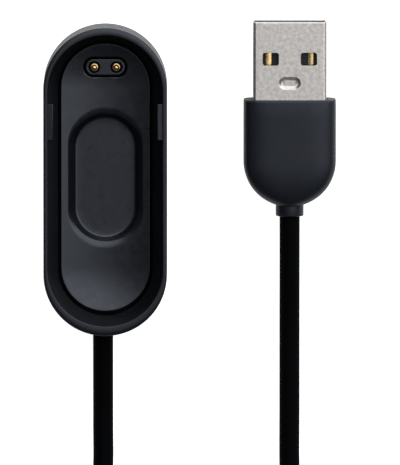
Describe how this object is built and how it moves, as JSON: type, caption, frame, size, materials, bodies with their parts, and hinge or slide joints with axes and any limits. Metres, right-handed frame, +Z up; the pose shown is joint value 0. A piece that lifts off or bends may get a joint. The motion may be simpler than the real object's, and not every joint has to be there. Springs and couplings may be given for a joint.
{
  "type": "fitness tracker charging dock",
  "caption": "Oblong charging dock that a fitness-tracker capsule snaps into, with sprung contacts, a short round cord and a flat USB-A plug.",
  "frame": {"origin": "centre of the dock's footprint, on the surface that it lies on", "axes": "+Z up out of the tray, +Y along the dock towards its contacts and away from the cord, +X towards the plug"},
  "size_m": [0.0475, 0.1021, 0.0114],
  "materials": {
    "case_plastic": "fine satin moulding texture",
    "tray_plastic": "satin, slightly smoother than the case",
    "cord_rubber": "smooth matte extruded jacket",
    "grip_plastic": "soft satin overmould",
    "plated_steel": "nickel plated sheet, finely brushed",
    "spring_steel": "drawn wire",
    "gold_plate": "polished gold plate",
    "board_laminate": "green solder mask",
    "insulator_plastic": "matte moulded",
    "natural_plastic": "uncoloured moulding compound",
    "wire_red": "smooth wire insulation",
    "wire_black": "smooth wire insulation"
  },
  "bodies": {
    "dock": {"outer_case": "case_plastic", "base_cover": "case_plastic", "tray_insert": "tray_plastic", "pin_holder": "tray_plastic", "left_pin_barrel": "gold_plate", "right_pin_barrel": "gold_plate", "left_pin_spring": "spring_steel", "right_pin_spring": "spring_steel", "circuit_board": "board_laminate", "cord_grommet": "cord_rubber", "dock_power_wire": "wire_red", "dock_ground_wire": "wire_black", "cord": "cord_rubber", "plug_overmould": "grip_plastic", "plug_shell": "plated_steel", "plug_insulator": "insulator_plastic", "plug_inner_mould": "natural_plastic", "plug_contact_1": "gold_plate", "plug_contact_2": "gold_plate", "plug_contact_3": "gold_plate", "plug_contact_4": "gold_plate", "plug_power_wire": "wire_red", "plug_ground_wire": "wire_black"},
    "left_plunger": {"left_pin_plunger": "gold_plate"},
    "right_plunger": {"right_pin_plunger": "gold_plate"}
  },
  "joints": [
    {"name": "left_pin_slide", "type": "slide", "parent": "dock", "child": "left_plunger", "axis": [0, 0, -1], "range_m": [0, 0.0007], "stiffness_N_per_m": 600, "springref_m": -0.0004, "deforming": ["left_pin_spring"]},
    {"name": "right_pin_slide", "type": "slide", "parent": "dock", "child": "right_plunger", "axis": [0, 0, -1], "range_m": [0, 0.0007], "stiffness_N_per_m": 600, "springref_m": -0.0004, "deforming": ["right_pin_spring"]}
  ]
}
